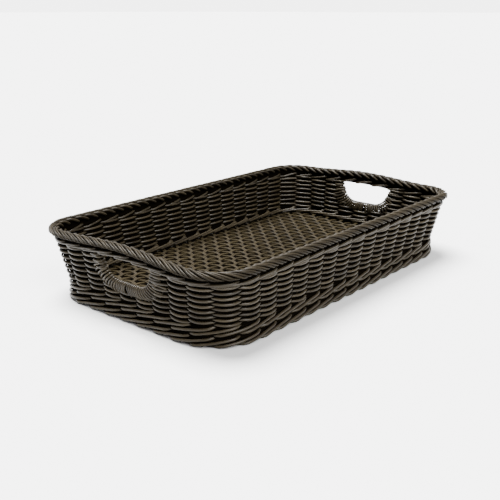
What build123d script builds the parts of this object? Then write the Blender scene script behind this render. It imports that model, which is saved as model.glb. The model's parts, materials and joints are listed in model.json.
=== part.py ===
from build123d import *
import math
import os

# Woven bread basket, in millimetres. X runs along the basket, Y across it and Z up.
# The origin is under the middle of the basket, on the surface that it stands on.
# Every course of the wall is a real rod that passes in and out of the upright stakes.

# Overall size, measured over the rolled border.
length = 530
width = 325
rim_height = 94
end_arch = 5

# Rods and wires. The clearance is left between pieces that lie beside each other.
rod = 2.6
stake = 2.8
wire = 3.6
hoop_wire = 3.0
play = 1.0
clearance = 0.2
splice_gap = 0.2

# The wall: a foot that leans in, then a flare up to the border.
foot_rods = 9
foot_pitch = 2.8
wall_courses = 15
course_pitch = 3.45
top_rods = 2
top_pitch = 2.7
gap_between_rods = 0.1
long_stakes = 13
short_stakes = 7
corner_stakes = 3
stake_foot = 0.6
stake_into_border = 3

# The rolled border.
border_width = 14.2
border_height = 11.6
border_rounding = 5.5
border_corner = 50.4
arch_foot = 0.72
arch_crown = 0.22
arch_rounding = 250

# The hand holes in the two short sides, each a D lying on its back.
hole_centre = -5
hole_half_width = 43.5
hole_depth = 28.5
hole_taper = 11
hole_rounding = 22
wrap = 8

# The floor: pairs of rods woven over and under each other.
floor_pitch_x = 13.3
floor_pitch_y = 14.2
floor_pair = 8
floor_rod = 1.9
floor_level = 14.5
frame_play = 0.8
rope = 4.6

# Heights that follow from the rod counts.
waist_height = foot_rods * foot_pitch
wale_height = waist_height + wall_courses * course_pitch
border_base = wale_height + top_rods * top_pitch
hole_top = wale_height + top_pitch - clearance
hole_bottom = hole_top - hole_depth - wrap - clearance

# The wall's middle surface as (height, inset from the overall size, corner radius).
weave_depth = stake / 2 + play + rod / 2
half_wall = weave_depth + rod / 2
wall_sections = (
    (0, 9.75 + half_wall, 64.3 - half_wall),
    (waist_height, 12.5 + half_wall, 62 - half_wall),
    (border_base, 3.5 + half_wall, 52 - half_wall),
)

os.makedirs("parts", exist_ok=True)


def wall_plan(height):
    """Inset and corner radius of the wall's middle surface at a height."""
    lower, upper = wall_sections[0:2] if height < waist_height else wall_sections[1:3]
    share = (height - lower[0]) / (upper[0] - lower[0])
    inset = lower[1] + share * (upper[1] - lower[1])
    radius = lower[2] + share * (upper[2] - lower[2])
    return inset, radius


# The stakes stand at one pitch around the waist, with one at the middle of every side.
waist_inset, waist_radius = wall_plan(waist_height)
waist_run_x = length / 2 - waist_inset - waist_radius
waist_run_y = width / 2 - waist_inset - waist_radius
waist_arc = math.pi / 2 * waist_radius
stake_pitch = 2 * (waist_run_x + waist_arc + waist_run_y) / (long_stakes + short_stakes + 2 * corner_stakes)


def stake_places(height):
    """Each stake's place in plan and its outward direction, anticlockwise from the front left."""
    inset, radius = wall_plan(height)
    half_x = length / 2 - inset
    half_y = width / 2 - inset
    places = []
    for quarter in range(4):
        long_side = quarter % 2 == 0
        reach = half_y if long_side else half_x
        run = (half_x if long_side else half_y) - radius
        waist_run = waist_run_x if long_side else waist_run_y
        each_way = (long_stakes if long_side else short_stakes) // 2
        turn = 90 * quarter - 90
        outward = Vector(1, 0).rotate(Axis.Z, turn)
        along = Vector(0, 1).rotate(Axis.Z, turn)
        for number in range(-each_way, each_way + 1):
            places.append((outward * reach + along * run * number * stake_pitch / waist_run, outward))
        corner = outward * (reach - radius) + along * run
        for number in range(corner_stakes):
            into_arc = (each_way + 1 + number) * stake_pitch - waist_run
            spoke = outward.rotate(Axis.Z, 90 * into_arc / waist_arc)
            places.append((corner + spoke * radius, spoke))
    return places


# Runs of stakes along which one length of rod is laid: four sides, and two in each corner.
rod_runs = []
for stakes_in_run in (long_stakes, 2, 1, short_stakes, 1, 2) * 2:
    rod_runs.append((sum(count for _, count in rod_runs), stakes_in_run))


def plain_weave(number, course):
    """In front of one stake and behind the next, the other way round in the next course."""
    return 1 if (number + course) % 2 == 0 else -1


def wale_weave(number, course):
    """In front of two stakes and behind one, a stake further on in each course."""
    return -1 if (number - course) % 3 == 0 else 1


def between(bend, neighbour):
    """The end of a rod halfway from one bend to the next, less half the splice gap."""
    place = (bend[0] + neighbour[0]) / 2
    outward = (bend[1] + neighbour[1]).normalized()
    return place + (bend[0] - place).normalized() * splice_gap / 2, outward


def weave_course(base, height, weave, course):
    """One course of the wall: rods of a rectangular section bent in and out of the stakes."""
    bends = []
    for number, (place, outward) in enumerate(stake_places(base + height / 2)):
        bends.append((place + outward * weave(number, course) * weave_depth, outward))
    with BuildPart() as rods:
        with BuildSketch(Plane.XY.offset(base)):
            for first, count in rod_runs:
                line = bends[first:first + count]
                start = between(line[0], bends[first - 1])
                end = between(line[-1], bends[(first + count) % len(bends)])
                line = [start, *line, end]
                outer_face = [place + outward * rod / 2 for place, outward in line]
                inner_face = [place - outward * rod / 2 for place, outward in line]
                with BuildLine():
                    Polyline(*outer_face, *reversed(inner_face), close=True)
                make_face()
        extrude(amount=height)
    return rods.part


def end_plane(end):
    """The plane of a short side's wall at the top of its hand hole, facing outward."""
    low_inset = wall_plan(waist_height)[0]
    high_inset = wall_plan(border_base)[0]
    lean = math.atan2(low_inset - high_inset, border_base - waist_height)
    outward = Vector(end * math.cos(lean), 0, -math.sin(lean))
    middle = length / 2 - wall_plan(hole_top)[0]
    return Plane(origin=(end * middle, hole_centre, hole_top), x_dir=(0, end, 0), z_dir=outward)


def hole_line(grow):
    """The D of a hand hole, grown outward: down one side, across the bottom and up."""
    low = hole_half_width - hole_taper + grow
    return FilletPolyline(
        (-hole_half_width - grow, 0),
        (-low, -hole_depth - grow),
        (low, -hole_depth - grow),
        (hole_half_width + grow, 0),
        radius=hole_rounding + grow,
    )


def hole_block(end, grow, half_thickness):
    """A solid D that fills a hand hole grown outward."""
    with BuildPart() as block:
        with BuildSketch(end_plane(end)):
            with BuildLine():
                d_line = hole_line(grow)
                Line(d_line @ 1, d_line @ 0)
            make_face()
        extrude(amount=half_thickness, both=True)
    return block.part


def finish(part, label):
    """Names a finished piece and writes it."""
    part.label = label
    export_step(part, f"parts/{label}.step")


# The cut that clears the courses and stakes away from both hand holes.
hole_clearance = [hole_block(end, wrap + clearance, half_wall * 2) for end in (-1, 1)]


def cut_hand_holes(part):
    """The part with both hand holes cleared through it."""
    with BuildPart() as cut:
        add(part)
        for block in hole_clearance:
            add(block, mode=Mode.SUBTRACT)
    return cut.part


# Foot: three-rod waling, laid a rod at a time.
for course in range(foot_rods):
    foot_rod = weave_course(course * foot_pitch, foot_pitch - gap_between_rods, wale_weave, course)
    finish(foot_rod, f"foot_wale_{course + 1:02d}")

# Wall: plain weave. The courses beside the hand holes stop at their hoops.
for course in range(wall_courses):
    base = waist_height + course * course_pitch
    wall_rod = weave_course(base, course_pitch - gap_between_rods, plain_weave, course)
    if base + course_pitch > hole_bottom:
        wall_rod = cut_hand_holes(wall_rod)
    finish(wall_rod, f"wall_course_{course + 1:02d}")

# Top wale: the lower rod stops at the hand holes and the upper one closes them.
for course in range(top_rods):
    base = wale_height + course * top_pitch
    wale_rod = weave_course(base, top_pitch - gap_between_rods, wale_weave, course)
    if course == 0:
        wale_rod = cut_hand_holes(wale_rod)
    finish(wale_rod, f"top_wale_{course + 1}")


# Stakes: upright rods from the foot into the border.
def stake_path(number):
    """A stake's line through the foot, the waist and the border."""
    points = []
    for height in (stake_foot, waist_height, border_base + stake_into_border):
        place = stake_places(height)[number][0]
        points.append((place.X, place.Y, height))
    return points


def build_stakes(numbers):
    """A group of stakes, each its own solid."""
    with BuildPart() as group:
        for number in numbers:
            with BuildLine() as line:
                FilletPolyline(*stake_path(number), radius=25)
            with BuildSketch(Plane(origin=line.line @ 0, z_dir=line.line % 0)):
                Circle(stake / 2)
            sweep(path=line.line)
    return group.part


quarter_stakes = long_stakes + short_stakes + 2 * corner_stakes
front = range(long_stakes)
right = range(long_stakes + corner_stakes, quarter_stakes - corner_stakes)
back = range(quarter_stakes, quarter_stakes + long_stakes)
left = range(quarter_stakes + right.start, quarter_stakes + right.stop)
sides = {"front": front, "right": right, "back": back, "left": left}
side_numbers = [number for numbers in sides.values() for number in numbers]
corners = [number for number in range(2 * quarter_stakes) if number not in side_numbers]
stake_groups = {}
for name, numbers in (*sides.items(), ("corner", corners)):
    stake_groups[name] = cut_hand_holes(build_stakes(numbers))
    finish(stake_groups[name], f"{name}_stakes")


# Wire rings, each one closed rod bent to a rounded rectangle.
def ring(inset, corner_radius, height, diameter):
    """A closed ring of round rod."""
    half_x = length / 2 - inset
    half_y = width / 2 - inset
    with BuildPart() as loop:
        with BuildLine(Plane.XY.offset(height)) as line:
            FilletPolyline(
                (half_x, half_y),
                (-half_x, half_y),
                (-half_x, -half_y),
                (half_x, -half_y),
                radius=corner_radius,
                close=True,
            )
        with BuildSketch(Plane(origin=line.line @ 0, z_dir=line.line % 0)):
            Circle(diameter / 2)
        sweep(path=line.line)
    return loop.part


border_inset = border_width / 2
border_radius = border_corner - border_inset
border_middle = rim_height - border_height / 2
rim_wire = ring(border_inset, border_radius, border_middle, wire)
finish(rim_wire, "rim_wire")

floor_wire_inset = wall_plan(floor_level)[0] + half_wall + wire / 2 + frame_play
floor_wire_radius = wall_plan(floor_level)[1] - half_wall - wire / 2 - frame_play
finish(ring(floor_wire_inset, floor_wire_radius, floor_level, wire), "floor_frame_wire")

rope_height = floor_level + wire / 2 + rope / 2 + clearance
rope_inset = wall_plan(rope_height)[0] + half_wall + rope / 2 + clearance
rope_radius = wall_plan(rope_height)[1] - half_wall - rope / 2 - clearance
finish(ring(rope_inset, rope_radius, rope_height, rope), "floor_edge_rope")


# Rolled border, in lengths: two long sides, two arched short sides and eight half corners.
border_run_x = length / 2 - border_inset - border_radius
border_run_y = width / 2 - border_inset - border_radius


def border_section():
    """The border's rounded section."""
    return RectangleRounded(border_width, border_height, border_rounding)


def long_border(side):
    """The border along a long side."""
    middle_y = side * (width / 2 - border_inset)
    with BuildPart() as piece:
        with BuildSketch(Plane.YZ):
            with Locations((middle_y, border_middle)):
                border_section()
        extrude(amount=border_run_x - splice_gap / 2, both=True)
    return piece.part


def short_border(end):
    """The border along a short side, which rises over the hand hole."""
    half = border_run_y - splice_gap / 2
    low = rim_height - border_height
    with BuildPart() as piece:
        with BuildSketch(Plane.YZ.offset(end * (length / 2 - border_inset))):
            with BuildLine():
                crown = FilletPolyline(
                    (-half, rim_height),
                    (-half * arch_foot, rim_height),
                    (-half * arch_crown, rim_height + end_arch),
                    (half * arch_crown, rim_height + end_arch),
                    (half * arch_foot, rim_height),
                    (half, rim_height),
                    radius=arch_rounding,
                )
                Polyline(crown @ 1, (half, low), (-half, low), crown @ 0)
            make_face()
        extrude(amount=border_width / 2, both=True)
        long_edges = piece.edges().filter_by(lambda edge: abs(edge.center().Y) < half - 1)
        fillet(long_edges, radius=border_rounding)
    return piece.part


def corner_border(turn, half):
    """Half of a corner of the border, turned about the corner's centre."""
    centre_x = border_run_x if turn in (0, 270) else -border_run_x
    centre_y = border_run_y if turn < 180 else -border_run_y
    gap_angle = math.degrees(splice_gap / 2 / border_radius)
    start = turn + 45 * half + gap_angle
    spoke = Vector(1, 0).rotate(Axis.Z, start)
    across = spoke.rotate(Axis.Z, -90)
    with BuildPart() as piece:
        with BuildSketch(Plane(origin=(centre_x, centre_y, border_middle), x_dir=spoke, z_dir=across)):
            with Locations((border_radius, 0)):
                border_section()
        revolve(axis=Axis((centre_x, centre_y, 0), (0, 0, 1)), revolution_arc=45 - 2 * gap_angle)
    return piece.part


with BuildPart() as rolled_border:
    for side in (-1, 1):
        add(long_border(side))
        add(short_border(side))
    for turn in (0, 90, 180, 270):
        for half in (0, 1):
            add(corner_border(turn, half))
    add(rim_wire, mode=Mode.SUBTRACT)
    for group in stake_groups.values():
        add(group, mode=Mode.SUBTRACT)
finish(rolled_border.part, "rolled_border")


# Hand holes: a wire hoop in each, wrapped by the ends of the courses that stop there.
for end, name in ((-1, "left"), (1, "right")):
    with BuildPart() as hoop:
        with BuildLine(end_plane(end)) as hoop_line:
            hole_line(wrap / 2)
        with BuildSketch(Plane(origin=hoop_line.line @ 0, z_dir=hoop_line.line % 0)):
            Circle(hoop_wire / 2)
        sweep(path=hoop_line.line)
        split(bisect_by=Plane.XY.offset(hole_top - 1), keep=Keep.BOTTOM)
    finish(hoop.part, f"{name}_hand_hole_hoop")
    with BuildPart() as hole_wrap:
        add(hole_block(end, wrap, half_wall))
        add(hole_block(end, 0, half_wall * 2), mode=Mode.SUBTRACT)
        split(bisect_by=Plane.XY.offset(hole_top), keep=Keep.BOTTOM)
        add(hoop.part, mode=Mode.SUBTRACT)
    finish(hole_wrap.part, f"{name}_hand_hole_wrap")


# Floor: an open mat. Straight pairs of rods run lengthwise, and pairs woven over and
# under them run across. It stops at the floor's frame wire.
floor_edge = floor_wire_inset + wire / 2 + clearance
floor_corner = floor_wire_radius - wire / 2 - clearance
floor_x = length - 2 * floor_edge
floor_y = width - 2 * floor_edge
floor_swing = floor_rod + gap_between_rods
pairs_across = math.floor(floor_x / floor_pitch_x)
pairs_along = math.floor(floor_y / floor_pitch_y)
crossing_half = floor_pair / 2 + clearance


def pair_places(count, pitch):
    """The middles of a number of floor pairs."""
    return [(number - (count - 1) / 2) * pitch for number in range(count)]


def woven_side_view(phase):
    """A crosswise pair's side view: flat over or under each crossing, sloping in between."""
    middle = []
    for number, place in enumerate(pair_places(pairs_along, floor_pitch_y)):
        rise = floor_swing if (number + phase) % 2 == 0 else -floor_swing
        middle += [(place - crossing_half, rise), (place + crossing_half, rise)]
    middle[0] = (-floor_y / 2, middle[0][1])
    middle[-1] = (floor_y / 2, middle[-1][1])
    upper = [(y, floor_level + z + floor_rod / 2) for y, z in middle]
    lower = [(y, floor_level + z - floor_rod / 2) for y, z in reversed(middle)]
    return Polyline(*upper, *lower, close=True)


with BuildPart() as floor_outline:
    with BuildSketch(Plane.XY):
        RectangleRounded(floor_x, floor_y, floor_corner)
    extrude(amount=2 * floor_level)

with BuildPart() as lengthwise:
    with BuildSketch(Plane.XY.offset(floor_level)):
        with Locations([(0, place) for place in pair_places(pairs_along, floor_pitch_y)]):
            Rectangle(floor_x, floor_pair)
    extrude(amount=floor_rod / 2, both=True)
    add(floor_outline.part, mode=Mode.INTERSECT)
finish(lengthwise.part, "floor_rods_lengthwise")

with BuildPart() as crosswise:
    for number, place in enumerate(pair_places(pairs_across, floor_pitch_x)):
        with BuildSketch(Plane.YZ.offset(place)):
            with BuildLine():
                woven_side_view(number)
            make_face()
        extrude(amount=floor_pair / 2, both=True)
    add(floor_outline.part, mode=Mode.INTERSECT)
finish(crosswise.part, "floor_rods_crosswise")
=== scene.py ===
import json
import math

import bpy
import numpy as np
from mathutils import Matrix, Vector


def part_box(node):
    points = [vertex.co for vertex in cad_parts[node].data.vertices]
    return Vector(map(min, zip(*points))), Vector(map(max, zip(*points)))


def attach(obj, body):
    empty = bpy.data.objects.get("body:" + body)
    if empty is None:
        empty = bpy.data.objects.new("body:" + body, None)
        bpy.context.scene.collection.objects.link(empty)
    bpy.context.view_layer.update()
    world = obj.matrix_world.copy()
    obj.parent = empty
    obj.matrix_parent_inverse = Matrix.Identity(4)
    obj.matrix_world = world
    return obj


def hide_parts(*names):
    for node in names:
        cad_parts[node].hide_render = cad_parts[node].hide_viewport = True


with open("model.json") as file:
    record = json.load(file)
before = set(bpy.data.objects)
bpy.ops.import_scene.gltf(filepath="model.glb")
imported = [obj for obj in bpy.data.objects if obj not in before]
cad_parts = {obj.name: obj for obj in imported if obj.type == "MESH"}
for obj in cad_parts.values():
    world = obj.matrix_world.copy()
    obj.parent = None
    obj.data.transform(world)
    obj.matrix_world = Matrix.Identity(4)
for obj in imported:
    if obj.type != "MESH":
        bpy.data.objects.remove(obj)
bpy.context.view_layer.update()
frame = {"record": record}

# Every strand of the basket is drawn as a round or flattened tube that follows the CAD's outline.
# The strands are laid out in millimetres and the meshes are made in metres. Sizes that end in STRAND,
# STAKE, SHADE_FILLER, RING, WIRE, CORE or RIB are radii.
MM = 0.001
rng = np.random.default_rng(21)
nodes = [row["node"] for row in frame["record"]["subparts"]]


def nodes_named(start):
    """The CAD nodes whose names begin in a certain way."""
    return [node for node in nodes if node.startswith(start)]


def level(node, side):
    """The underside (0) or top (1) of a CAD node, in millimetres."""
    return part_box(node)[side].z / MM


# ---------------------------------------------------------------- the wall's shape
STAKES = 52
HALF_WALL = 5.0
FOOT_CORNER = 64.3
WAIST_CORNER = 62.0
TOP_CORNER = 52.0
RIM_HEIGHT = 94.0
ARCH_REACH = 112.0
SHORT_SIDE_DEPTH = 40.0

waist_height = level("wall_course_01", 0)
wale_height = level("top_wale_1", 0)
border_base = level("top_wale_2", 1)
border_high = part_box("rolled_border")[1]
half_length = border_high.x / MM
half_width = border_high.y / MM
arch = border_high.z / MM - RIM_HEIGHT

foot_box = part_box("foot_wale_01")[1]
waist_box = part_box("wall_course_01")[1]
top_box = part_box("top_wale_2")[1]
section_heights = np.array([0.0, waist_height, border_base])
section_x = np.array([foot_box.x, waist_box.x, top_box.x]) / MM - HALF_WALL
section_y = np.array([foot_box.y, waist_box.y, top_box.y]) / MM - HALF_WALL
section_radius = np.array([FOOT_CORNER, WAIST_CORNER, TOP_CORNER]) - HALF_WALL


def by_height(z, values):
    """A value given at the foot, the waist and the border, at any height."""
    slope = (values[2] - values[1]) / (section_heights[2] - section_heights[1])
    above = np.maximum(z - section_heights[2], 0) * slope
    return np.interp(z, section_heights, values) + above


def around(t, half_x, half_y, radius):
    """A point of a rounded rectangle and its outward direction.

    t is the distance anticlockwise from the middle of the front, along four straight runs and four arcs.
    """
    run_x = half_x - radius
    run_y = half_y - radius
    arc = radius * math.pi / 2
    lengths = np.stack([2 * run_x, arc, 2 * run_y, arc] * 2, -1)
    ends = np.cumsum(lengths, -1)
    t = np.mod(t + run_x, ends[..., -1])
    run = np.minimum((t[..., None] >= ends).sum(-1), 7)
    length_here = np.take_along_axis(lengths, run[..., None], -1)[..., 0]
    start = np.take_along_axis(ends, run[..., None], -1)[..., 0] - length_here
    share = (t - start) / length_here
    quarter = run // 2
    turn = (quarter - 1) * math.pi / 2
    straight = run % 2 == 0
    reach = np.where(quarter % 2 == 0, half_y, half_x) - radius
    side = np.where(quarter % 2 == 0, run_x, run_y)
    offset = np.where(straight, side * (2 * share - 1), side)
    angle = turn + np.where(straight, 0, share * math.pi / 2)
    x = np.cos(turn) * reach - np.sin(turn) * offset + np.cos(angle) * radius
    y = np.sin(turn) * reach + np.cos(turn) * offset + np.sin(angle) * radius
    return x, y, np.cos(angle), np.sin(angle)


def perimeter(half_x, half_y, radius):
    """The length around a rounded rectangle."""
    return 4 * (half_x + half_y) - 8 * radius + 2 * math.pi * radius


def arch_lift(x, y):
    """How far the rim of a short side rises over its hand hole."""
    on_end = np.abs(x) > half_length - SHORT_SIDE_DEPTH
    rise = np.cos(np.clip(np.abs(y) / ARCH_REACH, 0, 1) * math.pi / 2) ** 2
    return np.where(on_end, arch * rise, 0)


def outline_at(z):
    """Half the length, half the width and the corner radius of the wall's middle at a height."""
    return by_height(z, section_x), by_height(z, section_y), by_height(z, section_radius)


def pitch_at(z):
    """The distance between stakes at a height."""
    return perimeter(*outline_at(z)) / STAKES


def wall(s, z, d):
    """Points of the wall and its outward direction. s counts stakes, d is outward."""
    s, z, d = np.broadcast_arrays(np.asarray(s, float), np.asarray(z, float), np.asarray(d, float))
    outline = outline_at(z)
    x, y, nx, ny = around(s * perimeter(*outline) / STAKES, *outline)
    share = np.clip((z - hole_bottom) / (border_base - hole_bottom), 0, 1)
    height = z + arch_lift(x, y) * share
    points = np.stack([x + nx * d, y + ny * d, height], -1)
    outward = np.stack([nx, ny, np.zeros_like(nx)], -1)
    return points, outward


def wobble(s, size, loops=1):
    """A small smooth random wave that closes on itself after a number of loops around the basket."""
    slowest, fastest, terms = 6, 40, 7
    wave = np.zeros_like(s)
    for _ in range(terms):
        turns = rng.integers(slowest * loops, fastest * loops)
        wave += np.sin(2 * math.pi * turns * s / (STAKES * loops) + rng.uniform(0, 2 * math.pi))
    return wave * size / math.sqrt(terms / 2)


# ---------------------------------------------------------------- the hand holes' shape
# A hole narrows downward in straight lines that lean inward, and its lower corners are rounded.
HOLE_HALF = 46.0
HOLE_DEPTH = 28.5
HOLE_TAPER = 13.5
HOLE_ROUNDING = 26.0
HOLE_LEAN = math.atan2(HOLE_TAPER, HOLE_DEPTH)
hole_low, hole_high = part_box("left_hand_hole_wrap")
hole_centre = (hole_low.y + hole_high.y) / 2 / MM
hole_top = hole_high.z / MM
hole_bottom = hole_top - HOLE_DEPTH

rounding_depth = HOLE_DEPTH - HOLE_ROUNDING
rounding_z = hole_top - rounding_depth
rounding_y = HOLE_HALF - HOLE_TAPER * rounding_depth / HOLE_DEPTH - HOLE_ROUNDING / math.cos(HOLE_LEAN)


def hole_half(z):
    """Half the width of a hand hole at a height."""
    depth = hole_top - z
    below = depth - rounding_depth
    if below > HOLE_ROUNDING * math.sin(HOLE_LEAN):
        return rounding_y + math.sqrt(max(HOLE_ROUNDING**2 - below**2, 0))
    return HOLE_HALF - HOLE_TAPER * depth / HOLE_DEPTH


def end_place(end, y, z):
    """The stake count at a height, for a place y along the right (1) or left (-1) short side."""
    middle = STAKES * (0.5 - 0.25 * end)
    return middle + end * y / pitch_at(z)


# The strands over a hole's lower edge fan out this far below it. Courses end inside the fan where they
# meet it, and loop around the hole's edge higher up.
FAN_LENGTH = 16.0
FAN_OVERLAP = 7.0
loops_above = hole_bottom + 7.5
rings_below = hole_bottom - FAN_LENGTH + 3.5


def course_end(z, beside):
    """How far from the middle of a hand hole a course ends, at a height where it meets one."""
    if z > loops_above:
        return hole_half(z) + beside
    grown = HOLE_ROUNDING + FAN_LENGTH
    return rounding_y + math.sqrt(max(grown**2 - (rounding_z - z) ** 2, 0)) - FAN_OVERLAP


def between_holes(z, clear):
    """Where a course leaves one hand hole and arrives at the other, for both halves of the way around."""
    for end in (1, -1):
        leave = end_place(end, hole_centre + end * clear, z)
        arrive = end_place(-end, hole_centre + end * clear, z)
        if arrive < leave:
            arrive += STAKES
        yield leave, arrive


# ---------------------------------------------------------------- strands as meshes
# A strand's end is rounded by three more rings: how far each lies out, and how wide it is.
END_REACH = np.array([0.5, 0.87, 1.0])[:, None]
END_WIDTH = np.array([0.87, 0.5, 0.12])
# The streaks start anywhere in a stretch this long, so that no two strands have the same ones.
STREAK_SHIFT = 500.0
MAP_PER_MM = 0.01


class Strands:
    """Strands collected into one mesh."""

    def __init__(self, sides=8):
        self.sides = sides
        self.vertices = []
        self.faces = []
        self.caps = []
        self.tones = []
        self.along = []
        self.count = 0

    def add(self, points, facing, radius, tone=None, closed=False, flat=1.0):
        """One strand through points in millimetres.

        facing is roughly across the strand, and flat is its thickness that way as a share of its width.
        """
        points = np.asarray(points, float)
        facing = np.broadcast_to(np.asarray(facing, float), points.shape)
        radius = np.broadcast_to(np.asarray(radius, float), points.shape[:1])
        if closed:
            tangent = np.roll(points, -1, 0) - np.roll(points, 1, 0)
        else:
            points, facing, radius = self.with_round_ends(points, facing, radius)
            tangent = np.gradient(points, axis=0)
        tangent /= np.linalg.norm(tangent, axis=1, keepdims=True)
        side = np.cross(tangent, facing)
        side /= np.linalg.norm(side, axis=1, keepdims=True)
        up = np.cross(side, tangent)
        angle = np.arange(self.sides) * 2 * math.pi / self.sides
        ring = up[:, None] * np.cos(angle)[:, None] * flat + side[:, None] * np.sin(angle)[:, None]
        vertices = points[:, None] + ring * radius[:, None, None]
        n = len(points)
        spans = n if closed else n - 1
        self.vertices.append(vertices.reshape(-1, 3))
        self.faces.append(self.quads(n, spans) + self.count)
        self.along.append(self.streak_map(points, spans))
        if not closed:
            first = np.arange(self.sides)[::-1] + self.count
            last = np.arange(self.sides) + self.count + (n - 1) * self.sides
            self.caps += [first, last]
        value = rng.uniform(0, 1) if tone is None else tone
        self.tones.append(np.full(n * self.sides, value))
        self.count += n * self.sides

    @staticmethod
    def with_round_ends(points, facing, radius):
        """The points, facings and radii of an open strand, with those of its rounded ends."""
        start = (points[0] - points[1]) / np.linalg.norm(points[0] - points[1])
        end = (points[-1] - points[-2]) / np.linalg.norm(points[-1] - points[-2])
        before = (points[0] + start * radius[0] * END_REACH)[::-1]
        after = points[-1] + end * radius[-1] * END_REACH
        points = np.concatenate([before, points, after])
        facing = np.concatenate([facing[:1].repeat(3, 0), facing, facing[-1:].repeat(3, 0)])
        radius = np.concatenate([radius[0] * END_WIDTH[::-1], radius, radius[-1] * END_WIDTH])
        return points, facing, radius

    def quads(self, n, spans):
        """The side faces between neighbouring rings."""
        ring = np.arange(spans)[:, None]
        corner = np.arange(self.sides)[None]
        here = ring * self.sides
        there = (ring + 1) % n * self.sides
        following = (corner + 1) % self.sides
        faces = np.broadcast_arrays(here + corner, here + following, there + following, there + corner)
        return np.stack(faces, -1).reshape(-1, 4)

    def streak_map(self, points, spans):
        """The map that the streaks follow: the length along the strand, and the share of the way around."""
        steps = np.linalg.norm(np.diff(points, axis=0), axis=1)
        u = np.concatenate([[0], np.cumsum(steps)]) + rng.uniform(0, STREAK_SHIFT)
        u = np.append(u, u[-1] + np.linalg.norm(points[0] - points[-1]))
        corner = np.arange(self.sides)[None]
        uv = np.zeros((spans, self.sides, 4, 2))
        uv[:, :, 0, 0] = uv[:, :, 1, 0] = u[:spans, None] * MAP_PER_MM
        uv[:, :, 2, 0] = uv[:, :, 3, 0] = u[1:spans + 1, None] * MAP_PER_MM
        uv[:, :, 0, 1] = uv[:, :, 3, 1] = corner / self.sides
        uv[:, :, 1, 1] = uv[:, :, 2, 1] = (corner + 1) / self.sides
        return uv.reshape(-1, 2)

    def make(self, name, material, slot, replaced):
        """The mesh object of the strands so far, riding on the basket."""
        vertices = np.concatenate(self.vertices) * MM
        quads = np.concatenate(self.faces)
        caps = np.array(self.caps, int).reshape(-1, self.sides)
        corners = np.concatenate([quads.ravel(), caps.ravel()]).astype(np.int32)
        quad_starts = np.arange(len(quads)) * 4
        cap_starts = len(quads) * 4 + np.arange(len(caps)) * self.sides
        starts = np.concatenate([quad_starts, cap_starts]).astype(np.int32)
        mesh = bpy.data.meshes.new(name)
        mesh.vertices.add(len(vertices))
        mesh.vertices.foreach_set("co", vertices.ravel())
        mesh.loops.add(len(corners))
        mesh.loops.foreach_set("vertex_index", corners)
        mesh.polygons.add(len(starts))
        mesh.polygons.foreach_set("loop_start", starts)
        mesh.polygons.foreach_set("use_smooth", np.ones(len(starts), bool))
        mesh.update(calc_edges=True)
        uv = np.zeros((len(corners), 2))
        uv[: len(quads) * 4] = np.concatenate(self.along)
        mesh.uv_layers.new(name="along").data.foreach_set("uv", uv.ravel())
        tone = mesh.attributes.new("tone", "FLOAT", "POINT")
        tone.data.foreach_set("value", np.concatenate(self.tones).astype(np.float32))
        mesh.materials.append(material)
        piece = bpy.data.objects.new(name, mesh)
        bpy.context.scene.collection.objects.link(piece)
        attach(piece, "root")
        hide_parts(*replaced)


# ---------------------------------------------------------------- materials
def resin(name, dark, light, roughness, gloss):
    """Resin strand: fine streaks along it, wide patches, and a tone of its own for every strand."""
    material = bpy.data.materials.new(name)
    material.use_nodes = True
    tree = material.node_tree
    tree.nodes.clear()

    def node(kind, values, **settings):
        made = tree.nodes.new(kind)
        for key, value in settings.items():
            setattr(made, key, value)
        for socket, value in values.items():
            made.inputs[socket].default_value = value
        return made

    def link(source, output, target, socket):
        tree.links.new(source.outputs[output], target.inputs[socket])

    def scaled(source, times, plus, clamp=False):
        """A source times a number, plus a number or another of these sums."""
        made = node("ShaderNodeMath", {1: times}, operation="MULTIPLY_ADD", use_clamp=clamp)
        link(source, "Fac", made, 0)
        if isinstance(plus, float):
            made.inputs[2].default_value = plus
        else:
            link(plus, "Value", made, 2)
        return made

    output = node("ShaderNodeOutputMaterial", {})
    shader = node("ShaderNodeBsdfPrincipled", {"Specular IOR Level": gloss})
    link(shader, "BSDF", output, "Surface")

    # The streaks, stretched along the strand, and the patches, wider than a strand.
    uv = node("ShaderNodeUVMap", {}, uv_map="along")
    stretch = node("ShaderNodeMapping", {"Scale": (2.4, 7.0, 1.0)})
    streak = node("ShaderNodeTexNoise", {"Scale": 3.0, "Detail": 5.0, "Roughness": 0.62})
    link(uv, "UV", stretch, "Vector")
    link(stretch, "Vector", streak, "Vector")
    place = node("ShaderNodeTexCoord", {})
    patch = node("ShaderNodeTexNoise", {"Scale": 9.0, "Detail": 2.0})
    link(place, "Object", patch, "Vector")

    # The colour: streak, tone and patch are added up, and the sum picks between dark and light.
    tone = node("ShaderNodeAttribute", {}, attribute_name="tone")
    streak_part = scaled(streak, 1.5, -0.55)
    tone_part = scaled(tone, 0.5, streak_part)
    patch_part = scaled(patch, 0.35, tone_part, clamp=True)
    colour = node("ShaderNodeMix", {"A": (*dark, 1.0), "B": (*light, 1.0)}, data_type="RGBA")
    link(patch_part, "Value", colour, "Factor")
    link(colour, "Result", shader, "Base Color")

    # The streaks also vary the roughness and raise the surface a little.
    satin = scaled(streak, 0.25, roughness - 0.12)
    link(satin, "Value", shader, "Roughness")
    bump = node("ShaderNodeBump", {"Strength": 0.35, "Distance": 0.0004})
    link(streak, "Fac", bump, "Height")
    link(bump, "Normal", shader, "Normal")
    return material


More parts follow.
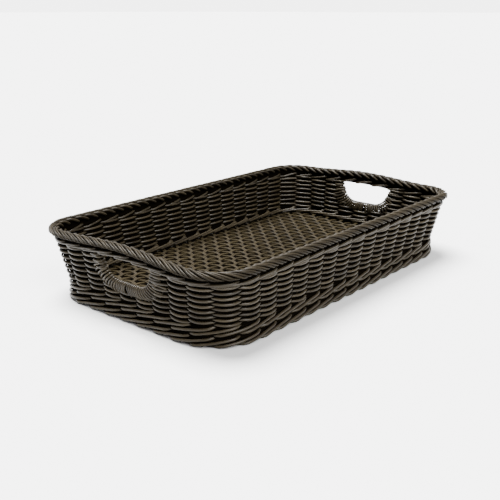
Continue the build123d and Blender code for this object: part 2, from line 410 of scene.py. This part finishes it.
wall_resin = resin("wall_resin", (0.0016, 0.0011, 0.0005), (0.0215, 0.0165, 0.0088), 0.36, 0.14)
border_resin = resin("border_resin", (0.0016, 0.0011, 0.0005), (0.0125, 0.0097, 0.0054), 0.4, 0.05)
floor_resin = resin("floor_resin", (0.0022, 0.0015, 0.0004), (0.0128, 0.0096, 0.0042), 0.5, 0.03)
# Nearly black: painted shade for the dark ribs under the floor.
shade_rib_resin = resin("shade_rib_resin", (0.0010, 0.0007, 0.0002), (0.0026, 0.0018, 0.0005), 0.7, 0.02)
# Dark resin of the stakes, used also for the wall's dark core rods, which are painted shade.
stake_and_shade_resin = resin("stake_and_shade_resin", (0.0006, 0.0005, 0.0003), (0.0016, 0.0012, 0.0007), 0.8, 0.0)
# Dark paint of the wire frame, used also for the rim's dark band and the rings under the hole fans, which
# are painted shade.
wire_and_shade_paint = resin("wire_and_shade_paint", (0.0006, 0.0005, 0.0003), (0.0016, 0.0012, 0.0007), 0.8, 0.0)


# ---------------------------------------------------------------- the wall's plain weave
COURSES = 15
STRAND = 1.64
BULGE = 4.4
DROOP = 0.5
PER_STAKE = 12
CROSSING = 0.7
course_pitch = (wale_height - waist_height) / COURSES

# A loop around a hole's edge. After it, the strand runs back on the wall's other face and sinks in.
LOOP = 3.9
LOOP_DROP = 1.2
APPROACH = 9.0
BACK_LENGTHS = np.array([3.0, 6.0, 9.0, 11.0])
BACK_DEPTHS = np.array([3.9, 3.6, 3.0, 1.8])
BACK_DROP = 1.3


def plain(s):
    """Outside an even stake and inside an odd one."""
    return np.tanh(CROSSING * np.cos(math.pi * s)) / math.tanh(CROSSING)


def turn_back(s_end, z_end, way, face, pitch):
    """The rest of a course past its end: around the hole's edge to the other face, and back a little."""
    turn = np.linspace(0, math.pi, 9)[1:]
    s = s_end + way * np.concatenate([np.sin(turn) * LOOP, -BACK_LENGTHS]) / pitch
    d = face * np.concatenate([LOOP * np.cos(turn), -BACK_DEPTHS])
    z = z_end - np.concatenate([turn / math.pi * LOOP_DROP, 0 * BACK_LENGTHS + BACK_DROP])
    return np.stack([s, d, z])


def looped(s, d, z, course, pitch):
    """A course with a loop at both ends."""
    first_face = np.sign(plain(np.round(s[0] + 0.25) + course))
    last_face = np.sign(plain(np.round(s[-1] - 0.25) + course))
    near_first = np.clip(1 - (s - s[0]) * pitch / APPROACH, 0, 1) ** 0.7
    near_last = np.clip(1 - (s[-1] - s) * pitch / APPROACH, 0, 1) ** 0.7
    d = d + (first_face * LOOP - d) * near_first
    d = d + (last_face * LOOP - d) * near_last
    first = turn_back(s[0], z[0], -1, first_face, pitch)[:, ::-1]
    last = turn_back(s[-1], z[-1], 1, last_face, pitch)
    return np.concatenate([first, np.stack([s, d, z]), last], axis=1)


def ring_course(weave, course, z0):
    """A course that runs all the way around."""
    s = np.arange(STAKES * PER_STAKE) / PER_STAKE
    d = BULGE * plain(s + course) + wobble(s, 0.14)
    points, _ = wall(s, z0 + wobble(s, 0.22) - DROOP * d / BULGE, d)
    weave.add(points, (0, 0, 1), STRAND * (1 + wobble(s, 0.03)), closed=True)


def cut_course(weave, course, z0):
    """A course that stops at the hand holes."""
    pitch = pitch_at(z0)
    inset = LOOP / pitch if z0 > loops_above else 0
    for leave, arrive in between_holes(z0, course_end(z0, STRAND)):
        s = np.linspace(leave + inset, arrive - inset, int((arrive - leave) * PER_STAKE))
        d = BULGE * plain(s + course)
        z = z0 + wobble(s, 0.22) - DROOP * d / BULGE
        if z0 > loops_above:
            s, d, z = looped(s, d, z, course, pitch)
        points, _ = wall(s, z, d)
        weave.add(points, (0, 0, 1), STRAND)


weave = Strands()
for course in range(COURSES):
    course_height = waist_height + (course + 0.5) * course_pitch
    if course_height > rings_below:
        cut_course(weave, course, course_height)
    else:
        ring_course(weave, course, course_height)
weave.make("wall_weave", wall_resin, "wall_strand", nodes_named("wall_course"))


# ---------------------------------------------------------------- the wall's dark core: painted shade
# Thin dark rods in the middle of the wall, between the courses: painted shade, so that the slits between
# them look dark.
SHADE_FILLER = 1.98
FILLER_PER_STAKE = 6
CUT_SAMPLES = 150
FILLER_CLEAR = 4.0
FOOT_SHADE_FILLER = 2.0
FOOT_ROWS = 8

shade_filler = Strands(6)
whole_loop = np.arange(STAKES * FILLER_PER_STAKE) / FILLER_PER_STAKE
for course in range(COURSES - 1):
    filler_height = waist_height + (course + 1) * course_pitch
    if filler_height < rings_below:
        points, _ = wall(whole_loop, filler_height + wobble(whole_loop, 0.1), 0.0)
        shade_filler.add(points, (0, 0, 1), SHADE_FILLER * (1 + wobble(whole_loop, 0.035)), closed=True)
    else:
        for leave, arrive in between_holes(filler_height, course_end(filler_height, FILLER_CLEAR)):
            points, _ = wall(np.linspace(leave, arrive, CUT_SAMPLES), filler_height, 0.0)
            shade_filler.add(points, (0, 0, 1), SHADE_FILLER)

# Dark rods of painted shade in the middle of the top waling, of the waist and of the foot: their heights
# and radii.
shade_filler_rings = [
    (border_base + 1.2, 2.0),
    (border_base - 1.0, 1.9),
    ((wale_height + border_base) / 2, 2.0),
    (wale_height + 0.2, 1.9),
    (waist_height, 2.0),
]
shade_filler_rings += [(waist_height * row / FOOT_ROWS, FOOT_SHADE_FILLER) for row in range(1, FOOT_ROWS)]
for filler_height, radius in shade_filler_rings:
    points, _ = wall(whole_loop, filler_height, 0.0)
    shade_filler.add(points, (0, 0, 1), radius, closed=True)
# These dark core rods are painted shade, made of the stakes' dark resin.
shade_filler.make("wall_shade_core", stake_and_shade_resin, "wall_strand", nodes_named("wall_course"))


# ---------------------------------------------------------------- three-rod waling
WALE_BULGE = 3.9
WALE_PER_STAKE = 10
# Along a rod, in stakes from the middle of its stretch inside the wall: it falls as far as the first
# place, and moves outward from the second one on.
WALE_INSIDE = 0.4
WALE_CROSSING = 0.22
WALE_CROSSING_LENGTH = 0.6
# The lowest row stays this far above the table, and a little further where it climbs.
WALE_CLEAR = 0.1
WALE_LIFT = 0.25


def smooth(x, start, width):
    """0 before start and 1 a width later, with no corners."""
    share = np.clip((x - start) / width, 0, 1)
    return share * share * (3 - 2 * share)


def waling(low, high, rows, radius, slant):
    """Rows of three-rod waling. Each rod goes outside two stakes, climbing, and inside one, falling."""
    strands = Strands()
    row_pitch = (high - low) / rows
    for row in range(rows):
        s = np.arange(3 * STAKES * WALE_PER_STAKE) / WALE_PER_STAKE
        phase = np.mod(s + row, 3)
        nearest = np.minimum(phase, 3 - phase)
        out = 2 * smooth(nearest, WALE_CROSSING, WALE_CROSSING_LENGTH) - 1
        d = WALE_BULGE * out + wobble(s, 0.12, 3)
        rising = (phase - WALE_INSIDE) / (3 - 2 * WALE_INSIDE)
        falling = (np.where(phase > 1.5, phase - 3, phase) + WALE_INSIDE) / (2 * WALE_INSIDE)
        climb = np.where(nearest < WALE_INSIDE, 1 - 2 * falling, 2 * rising - 1)
        z = low + (row + 0.5) * row_pitch + slant * climb + wobble(s, 0.15, 3)
        z = np.maximum(z, radius + WALE_CLEAR + WALE_LIFT * (climb + 1))
        points, _ = wall(s, z, d)
        tone = rng.uniform(0, 1, 3).mean()
        strands.add(points, (0, 0, 1), radius * (1 + wobble(s, 0.03, 3)), tone=tone, closed=True)
    return strands


foot = waling(low=0.3, high=waist_height, rows=2, radius=1.72, slant=5.4)
foot.make("foot_waling", wall_resin, "wall_strand", nodes_named("foot_wale"))

top = waling(low=wale_height - 1.6, high=border_base - 1.2, rows=1, radius=1.5, slant=2.2)
top.make("top_waling", wall_resin, "wall_strand", nodes_named("top_wale"))


# ---------------------------------------------------------------- stakes
STAKE = 1.5
STAKE_SAMPLES = 24
STAKE_FOOT = 1.5
STAKE_TOP = border_base + 2.0
# A stake keeps this far from a hand hole, beside it and below it.
BESIDE_HOLE = 6.0
BELOW_HOLE = 4.0

stakes = Strands()
for number in range(STAKES):
    heights = np.linspace(STAKE_FOOT, STAKE_TOP, STAKE_SAMPLES)
    middle, _ = wall(float(number), heights, 0.0)
    on_short_side = np.abs(middle[:, 0]) > half_length - SHORT_SIDE_DEPTH
    near_hole = np.abs(middle[:, 1] - hole_centre) < HOLE_HALF + BESIDE_HOLE
    in_hole = on_short_side & near_hole & (heights > hole_bottom - BELOW_HOLE)
    points, outward = wall(float(number), heights[~in_hole], 0.0)
    stakes.add(points, outward, STAKE)
stakes.make("wall_stakes", stake_and_shade_resin, "stake", [node for node in nodes if node.endswith("stakes")])


# ---------------------------------------------------------------- the rolled border
BORDER_HALF = 7.1
BORDER_THICK = 5.85
BORDER_CORNER = 50.4
BORDER_STRAND = 1.2
LANE_STRAND = 1.75
LANE_LAG = 12.0
MEMBER = 0.2
GROUPS = 2 * STAKES
ROUNDNESS = 0.86
RIM_CORE = 5.1
RIM_CORE_FLAT = 0.78
RIM_CORE_DROP = 0.3
RIM_CORE_SAMPLES = 600
border_x = half_length - BORDER_HALF
border_y = half_width - BORDER_HALF
border_radius = BORDER_CORNER - BORDER_HALF
border_around = perimeter(border_x, border_y, border_radius)
border_middle = RIM_HEIGHT - BORDER_THICK
group_pitch = border_around / GROUPS


def rim(t, across, above):
    """Points about the rim's middle line: a distance along it, outward and upward."""
    ones = np.ones_like(t)
    x, y, nx, ny = around(t, border_x * ones, border_y * ones, border_radius * ones)
    lift = arch_lift(x, y)
    points = np.stack([x + nx * across, y + ny * across, border_middle + lift + above], -1)
    facing = np.stack([nx * across, ny * across, above], -1)
    return points, facing


def section(psi, reach_x, reach_z):
    """The border's section, flatter on top than an ellipse."""
    c, s = np.cos(psi), np.sin(psi)
    return reach_x * np.sign(c) * np.abs(c) ** ROUNDNESS, reach_z * np.sign(s) * np.abs(s) ** ROUNDNESS


def border_strand(border, start, angles, slants, lifts, radius):
    """One strand of the border, from the inside over the top towards the outside.

    angles are the places over the section, in degrees from the outside. slants (degrees) and lifts are each
    two lists: shares of the way over, and the value there.
    """
    reach_x = BORDER_HALF - radius
    reach_z = BORDER_THICK - radius
    across, above = section(np.radians(angles), reach_x, reach_z)
    steps = np.hypot(np.diff(across), np.diff(above))
    share = np.concatenate([[0], np.cumsum(steps)]) / steps.sum()
    slant = np.radians(np.interp(share, *slants))
    forward = np.concatenate([[0], np.cumsum(steps / np.tan(slant[1:]))])
    lift = np.interp(share, *lifts) + rng.normal(0, 0.07)
    across = across * (1 + lift / reach_x)
    above = above * (1 + lift / reach_z)
    points, facing = rim(start + forward + rng.normal(0, 0.3), across, above)
    taper = 0.62 + 0.38 * np.sin(math.pi * np.clip(share * 1.05, 0, 1)) ** 0.6
    border.add(points, facing, radius * taper * rng.uniform(0.95, 1.04))


border = Strands()
for group in range(GROUPS):
    # A pair over the top, the second strand a little lower than the first, and one strand along the inside.
    for member in (-MEMBER, MEMBER):
        top_lift = 0.1 - member
        border_strand(
            border,
            (group + member) * group_pitch,
            np.linspace(126, -42, 24),
            ([0, 0.3, 1], [19, 21, 23]),
            ([0, 0.12, 0.3, 0.85, 1], [-1.9, -0.6, top_lift, top_lift, -1.1 - member]),
            BORDER_STRAND,
        )
    border_strand(
        border,
        group * group_pitch - LANE_LAG,
        np.linspace(220, 112, 18),
        ([0, 0.55, 1], [30, 23, 11]),
        ([0, 0.15, 0.7, 1], [-0.6, 0.2, 0.4, -1.7]),
        LANE_STRAND,
    )
border.make("border_strands", border_resin, "border_strand", ["rolled_border"])

# A dark band inside the border, which shows only between its strands: it stands for the rim wire, and is
# painted shade in the border's gaps.
rim_shade_core = Strands(10)
core_places = np.arange(RIM_CORE_SAMPLES) / RIM_CORE_SAMPLES * border_around
points, _ = rim(core_places, 0 * core_places, 0 * core_places - RIM_CORE_DROP)
rim_shade_core.add(points, (0, 0, 1), RIM_CORE, closed=True, flat=RIM_CORE_FLAT)
rim_shade_core.make("rim_wire_and_shade_core", wire_and_shade_paint, "frame_wire", ["rim_wire"])


# ---------------------------------------------------------------- hand-hole hoops and their wraps
HOOP_WIRE = 1.5
HOOP_SPACING = 4.0
EDGE_GAP = 1.8
SHADE_RING = 1.35
SHADE_RINGS = (5.5, 8.6, 11.7)
FAN_STRAND = 1.27
FAN_SPACING = 3.35
FAN_TURN = math.radians(66)
# The four places of a fan strand before it turns over the hole's edge: how far the first three are from
# its end, and how far all four are from the middle of the wall.
FAN_STEPS = np.array([0.0, 3.0, 6.0])
FAN_DEPTHS = np.array([2.2, 3.9, 4.3, 4.2])
FAN_EDGE_DEPTH = 4.1
FAN_SHORTER = 0.14


def hole_path(grow, spacing):
    """The lower part of a hand hole, grown: y, z and the direction away from the hole, as four columns."""
    radius = HOLE_ROUNDING + grow
    bottom_steps = max(round(2 * rounding_y / spacing), 1)
    turn_steps = max(int(radius * FAN_TURN / spacing), 2)
    bottom_y = np.arange(-rounding_y, rounding_y + 0.01, 2 * rounding_y / bottom_steps)
    turn = np.linspace(0, FAN_TURN, turn_steps + 1)[1:]
    angle = np.concatenate([-turn[::-1], 0 * bottom_y, turn])
    middle_y = np.concatenate([0 * turn - rounding_y, bottom_y, 0 * turn + rounding_y])
    away_y = np.sin(angle)
    away_z = -np.cos(angle)
    return np.stack([middle_y + radius * away_y, rounding_z + radius * away_z, away_y, away_z], -1)


def along_end(end, y, z, d):
    """Points of the wall at places y, from a hand hole's middle, along a short side."""
    return wall(end_place(end, y + hole_centre, z), z, d)


def make_hoop(end, side):
    """The hoop around a hand hole, and dark rings of painted shade under the fan of its wrap."""
    hoop = Strands()
    edge = LOOP + EDGE_GAP + 0.1
    upper_z = np.array([hole_top + 1.5, hole_top - 4, hole_top - 8])
    upper_y = np.array([hole_half(z) + edge for z in upper_z])
    lower = hole_path(edge, HOOP_SPACING)
    y = np.concatenate([-upper_y, lower[:, 0], upper_y[::-1]])
    z = np.concatenate([upper_z, lower[:, 1], upper_z[::-1]])
    points, outward = along_end(end, y, z, 0.0)
    hoop.add(points, outward, HOOP_WIRE)
    # Dark rings of painted shade in the middle of the wall, so that the slits under the fan look dark.
    for away in SHADE_RINGS:
        ring = hole_path(EDGE_GAP + away, HOOP_SPACING)
        points, outward = along_end(end, ring[:, 0], ring[:, 1], 0.0)
        hoop.add(points, outward, SHADE_RING)
    hoop.make(f"{side}_hoop", wire_and_shade_paint, "frame_wire", [f"{side}_hand_hole_hoop"])


def fan_sweep(ahead, share):
    """How far a strand of the fan leans along the wall, by its place and the share of its length."""
    if ahead > -3:
        return (3.5 + 0.24 * (ahead + 3)) * share**2
    return -2.6 * np.sin(math.pi * share) - 1.2 * share


def make_wrap(end, side):
    """The strands over a hand hole's lower edge. They fan out downward on both faces of the wall."""
    fan = Strands()
    turn = np.linspace(0, math.pi, 9)
    for y, z, ny, nz in hole_path(EDGE_GAP, FAN_SPACING):
        length = FAN_LENGTH + rng.normal(0, 0.5)
        outer = np.append(length - FAN_STEPS - EDGE_GAP, LOOP + 0.4)
        away = np.concatenate([outer, LOOP - LOOP * np.sin(turn), outer[::-1]])
        d = np.concatenate([FAN_DEPTHS, FAN_EDGE_DEPTH * np.cos(turn), -FAN_DEPTHS[::-1]])
        ahead = end * y
        share = away / FAN_LENGTH
        shorter = 1 - FAN_SHORTER * share**2 * (ahead > 0)
        fan_y = y + ny * away + end * fan_sweep(ahead, share)
        fan_z = z + nz * away * shorter
        points, outward = along_end(end, fan_y, fan_z, d)
        across = np.cross(outward, np.array([0.0, ny, nz]))
        fan.add(points, across, FAN_STRAND * rng.uniform(0.95, 1.04))
    fan.make(f"{side}_hole_wrap", wall_resin, "wall_strand", [f"{side}_hand_hole_wrap"])


for end, side in ((-1, "left"), (1, "right")):
    make_hoop(end, side)
    make_wrap(end, side)


# ---------------------------------------------------------------- the floor
MAT_CORNER = 46.0
PITCH_X = 13.3
PITCH_Y = 14.2
FLOOR_STRAND = 1.22
FLOOR_FLAT = 0.55
FLOOR_RAISE = 1.3
FLOOR_SWING = 0.72
FLOOR_CROSSING = 1.7
FLOOR_SAMPLE = 2.6
PAIR_GAP = 0.12
WAVE_LENGTH = 37.0
WAVE = 0.3
RIB = 7.3
RIB_FLAT = 0.24
RIB_DROP = 3.6
floor_low, floor_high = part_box("floor_rods_crosswise")
floor_level = (floor_low.z + floor_high.z) / 2 / MM
mat_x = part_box("floor_rods_lengthwise")[1].x / MM
mat_y = floor_high.y / MM


def mat_reach(place, half_along, half_across):
    """How far the floor reaches along a strand that lies at a place across it."""
    over = abs(place) - (half_across - MAT_CORNER)
    if over <= 0:
        return half_along
    return half_along - MAT_CORNER + math.sqrt(max(MAT_CORNER**2 - over**2, 0))


def floor_strands(half_along, half_across, pitch_along, pitch_across, phase):
    """Pairs of strands one way, woven over and under the pairs that cross them: along, across, height."""
    count = int(2 * half_across / pitch_across)
    crossings = int(2 * half_along / pitch_along)
    for number in range(count):
        middle = (number - (count - 1) / 2) * pitch_across
        for member in (-1, 1):
            place = middle + member * (FLOOR_STRAND + PAIR_GAP)
            reach = mat_reach(place, half_along, half_across) - 1
            along = np.linspace(-reach, reach, int(2 * reach / FLOOR_SAMPLE))
            beat = along / pitch_along + (crossings - 1) / 2 + number + phase
            swing = np.tanh(FLOOR_CROSSING * np.cos(math.pi * beat)) / math.tanh(FLOOR_CROSSING)
            across = place + np.sin(along / WAVE_LENGTH + rng.uniform(0, 6)) * WAVE
            yield along, across, floor_level + FLOOR_RAISE + FLOOR_SWING * swing


lengthwise = Strands(6)
for x, y, z in floor_strands(mat_x, mat_y, PITCH_X, PITCH_Y, 0):
    lengthwise.add(np.stack([x, y, z], -1), (0, 0, 1), FLOOR_STRAND, flat=FLOOR_FLAT)
lengthwise.make("floor_lengthwise", floor_resin, "floor_strand", ["floor_rods_lengthwise"])

crosswise = Strands(6)
for y, x, z in floor_strands(mat_y, mat_x, PITCH_Y, PITCH_X, 1):
    crosswise.add(np.stack([x, y, z], -1), (0, 0, 1), FLOOR_STRAND, flat=FLOOR_FLAT)
crosswise.make("floor_crosswise", floor_resin, "floor_strand", ["floor_rods_crosswise"])

# Dark flat ribs just under the mat, painted shade, so that its open rows look dark.
shade_ribs = Strands(6)
rib_count = int(2 * mat_y / PITCH_Y) + 1
for number in range(rib_count):
    rib_y = (number - (rib_count - 1) / 2) * PITCH_Y
    reach = mat_reach(rib_y, mat_x, mat_y) - 3
    x = np.linspace(-reach, reach, 24)
    points = np.stack([x, 0 * x + rib_y, 0 * x + floor_level - RIB_DROP], -1)
    shade_ribs.add(points, (0, 0, 1), RIB, flat=RIB_FLAT)
shade_ribs.make("floor_shade_ribs", shade_rib_resin, "floor_strand", ["floor_rods_lengthwise"])


# ---------------------------------------------------------------- the rope around the floor
ROPE_STRAND = 1.6
ROPE_INSET = 7.4
rope_low, rope_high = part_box("floor_edge_rope")
rope_middle = (rope_low.z + rope_high.z) / 2 / MM

rope = Strands()
for number in range(STAKES):
    # Each stroke is nearly two stakes long. It falls, and moves inward from the wall.
    step = np.linspace(-0.9, 0.9, 14)
    height = rope_middle + 1.8 - 2.4 * step
    points, _ = wall(number + 0.5 + step, height, step**2 - 0.9 * step - ROPE_INSET)
    rope.add(points, (0, 0, 1), ROPE_STRAND)
rope.make("floor_rope", wall_resin, "wall_strand", ["floor_edge_rope"])

for slot in bpy.data.objects["floor_frame_wire"].material_slots:
    slot.material = wire_and_shade_paint


# ---------------------------------------------------------------- studio
# The studio floor is so wide, in metres, that its edge is the horizon.
STAGE_HALF = 60.0
stage_corners = [(-STAGE_HALF, -STAGE_HALF, 0), (STAGE_HALF, -STAGE_HALF, 0)]
stage_corners += [(STAGE_HALF, STAGE_HALF, 0), (-STAGE_HALF, STAGE_HALF, 0)]
stage_mesh = bpy.data.meshes.new("studio_floor")
stage_mesh.from_pydata(stage_corners, [], [(0, 1, 2, 3)])
stage_floor = bpy.data.objects.new("studio_floor", stage_mesh)
bpy.context.scene.collection.objects.link(stage_floor)
stage_floor.location.z = -0.0002
pale = bpy.data.materials.new("pale_floor")
pale.use_nodes = True
pale_shader = pale.node_tree.nodes["Principled BSDF"]
pale_shader.inputs["Base Color"].default_value = (0.42, 0.42, 0.42, 1.0)
pale_shader.inputs["Roughness"].default_value = 0.9
pale_shader.inputs["Specular IOR Level"].default_value = 0.0
stage_mesh.materials.append(pale)

# The surroundings are bright at the horizon and dimmer above it.
world = bpy.data.worlds.new("studio")
bpy.context.scene.world = world
world.use_nodes = True
sky = world.node_tree
direction = sky.nodes.new("ShaderNodeTexCoord")
split = sky.nodes.new("ShaderNodeSeparateXYZ")
fade = sky.nodes.new("ShaderNodeMapRange")
fade.inputs["From Min"].default_value = 0.01
fade.inputs["From Max"].default_value = 0.15
fade.inputs["To Min"].default_value = 5.0
fade.inputs["To Max"].default_value = 1.2
sky.links.new(direction.outputs["Generated"], split.inputs["Vector"])
sky.links.new(split.outputs["Z"], fade.inputs["Value"])
sky.links.new(fade.outputs["Result"], sky.nodes["Background"].inputs["Strength"])
sky.nodes["Background"].inputs["Color"].default_value = (1.0, 1.0, 1.0, 1.0)


def sun(name, heading, height, softness, strength):
    """A soft light from far away: its compass direction, height and width in degrees."""
    light = bpy.data.lights.new(name, "SUN")
    light.angle = math.radians(softness)
    light.energy = strength
    lamp = bpy.data.objects.new(name, light)
    bpy.context.scene.collection.objects.link(lamp)
    lamp.rotation_euler = (math.radians(90 - height), 0.0, math.radians(heading + 90))


sun("key", heading=75, height=72, softness=36, strength=38)
sun("fill", heading=258, height=40, softness=30, strength=9)

camera_data = bpy.data.cameras.new("photo_camera")
camera_data.sensor_width = 36
camera_data.lens = 54.27
camera = bpy.data.objects.new("photo_camera", camera_data)
bpy.context.scene.collection.objects.link(camera)
camera.location = (-0.78165, -0.64415, 0.3535)
camera.rotation_euler = (math.radians(90 - 17.797), 0.0, math.radians(-49.369))
bpy.context.scene.camera = camera
